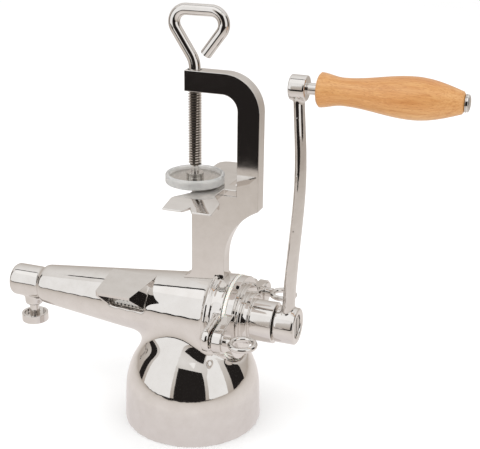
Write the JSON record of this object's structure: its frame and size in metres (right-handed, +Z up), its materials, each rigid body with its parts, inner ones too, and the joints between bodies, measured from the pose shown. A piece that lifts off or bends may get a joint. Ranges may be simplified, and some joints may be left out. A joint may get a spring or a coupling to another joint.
{
  "type": "hand-cranked auger juicer",
  "caption": "Polished steel hand-cranked auger juicer with a bell hopper, juice chute, table clamp with a looped screw, and a turned wooden crank grip.",
  "frame": {"origin": "centre of the hopper mouth, on the plane that its rim rests on", "axes": "+X along the barrel from the pulp nozzle to the crank, -Y the side with the juice chute, +Z up with the machine standing on its hopper mouth"},
  "size_m": [0.3622, 0.1212, 0.3316],
  "materials": {
    "polished_steel": "mirror polished",
    "satin_steel": "satin",
    "white_plastic": "satin",
    "clear_plastic": "milky clear",
    "beech": "clear lacquer"
  },
  "bodies": {
    "juicer_body": {"barrel_casting": "polished_steel", "hopper_bell": "polished_steel", "juice_chute": "polished_steel", "strainer": "satin_steel", "cover_gasket": "white_plastic", "hub_cover": "polished_steel", "hub_bush_inner": "white_plastic", "hub_bush_outer": "white_plastic", "thrust_washer": "white_plastic", "clamp_frame": "polished_steel", "jaw_plate": "polished_steel"},
    "pad_carriage": {"clear_pad": "clear_plastic", "pad_disc": "polished_steel"},
    "clamp_spindle": {"clamp_screw": "polished_steel", "swivel_rivet": "polished_steel"},
    "front_washer": {"eye_washer_front": "polished_steel"},
    "front_eye": {"eye_screw_front": "polished_steel"},
    "rear_washer": {"eye_washer_rear": "polished_steel"},
    "rear_eye": {"eye_screw_rear": "polished_steel"},
    "throttle": {"pressure_plug": "white_plastic"},
    "throttle_knob": {"pressure_screw": "polished_steel"},
    "crank": {"auger": "polished_steel", "auger_shaft": "polished_steel", "drive_key": "polished_steel", "crank_arm": "polished_steel", "crank_end_screw": "polished_steel", "grip_bolt": "polished_steel", "grip_spacer": "polished_steel", "grip_washer": "polished_steel", "grip_nut": "polished_steel"},
    "grip": {"wood_grip": "beech"}
  },
  "joints": [
    {"name": "crank_spin", "type": "hinge", "parent": "juicer_body", "child": "crank", "pos_m": [0.06, 0, 0.093], "axis": [1, 0, 0], "continuous": true},
    {"name": "grip_spin", "type": "hinge", "parent": "crank", "child": "grip", "pos_m": [0.14, 0, 0.278], "axis": [1, 0, 0], "continuous": true},
    {"name": "clamp_travel", "type": "slide", "parent": "juicer_body", "child": "pad_carriage", "axis": [0, 0, 1], "range_m": [-0.0005, 0.05]},
    {"name": "clamp_turn", "type": "hinge", "parent": "pad_carriage", "child": "clamp_spindle", "pos_m": [0.0025, 0, 0.25], "axis": [0, 0, 1], "range_deg": [-90, 9000]},
    {"name": "front_eye_travel", "type": "slide", "parent": "juicer_body", "child": "front_washer", "axis": [1, 0, 0], "range_m": [0, 0.0056]},
    {"name": "front_eye_turn", "type": "hinge", "parent": "front_washer", "child": "front_eye", "pos_m": [0.05, -0.048, 0.095], "axis": [1, 0, 0], "range_deg": [0, 2520]},
    {"name": "rear_eye_travel", "type": "slide", "parent": "juicer_body", "child": "rear_washer", "axis": [1, 0, 0], "range_m": [0, 0.0056]},
    {"name": "rear_eye_turn", "type": "hinge", "parent": "rear_washer", "child": "rear_eye", "pos_m": [0.05, 0.048, 0.095], "axis": [1, 0, 0], "range_deg": [0, 2520]},
    {"name": "throttle_travel", "type": "slide", "parent": "juicer_body", "child": "throttle", "axis": [0, 0, 1], "range_m": [-0.00375, 0.005]},
    {"name": "throttle_turn", "type": "hinge", "parent": "throttle", "child": "throttle_knob", "pos_m": [-0.145, 0, 0.07], "axis": [0, 0, 1], "range_deg": [-1080, 1440]}
  ],
  "couplings": [
    {"joint": "clamp_travel", "follows": "clamp_turn", "m_per_rad": 0.00031831},
    {"joint": "front_eye_travel", "follows": "front_eye_turn", "m_per_rad": 0.00012732},
    {"joint": "rear_eye_travel", "follows": "rear_eye_turn", "m_per_rad": 0.00012732},
    {"joint": "throttle_travel", "follows": "throttle_turn", "m_per_rad": 0.00019894}
  ]
}
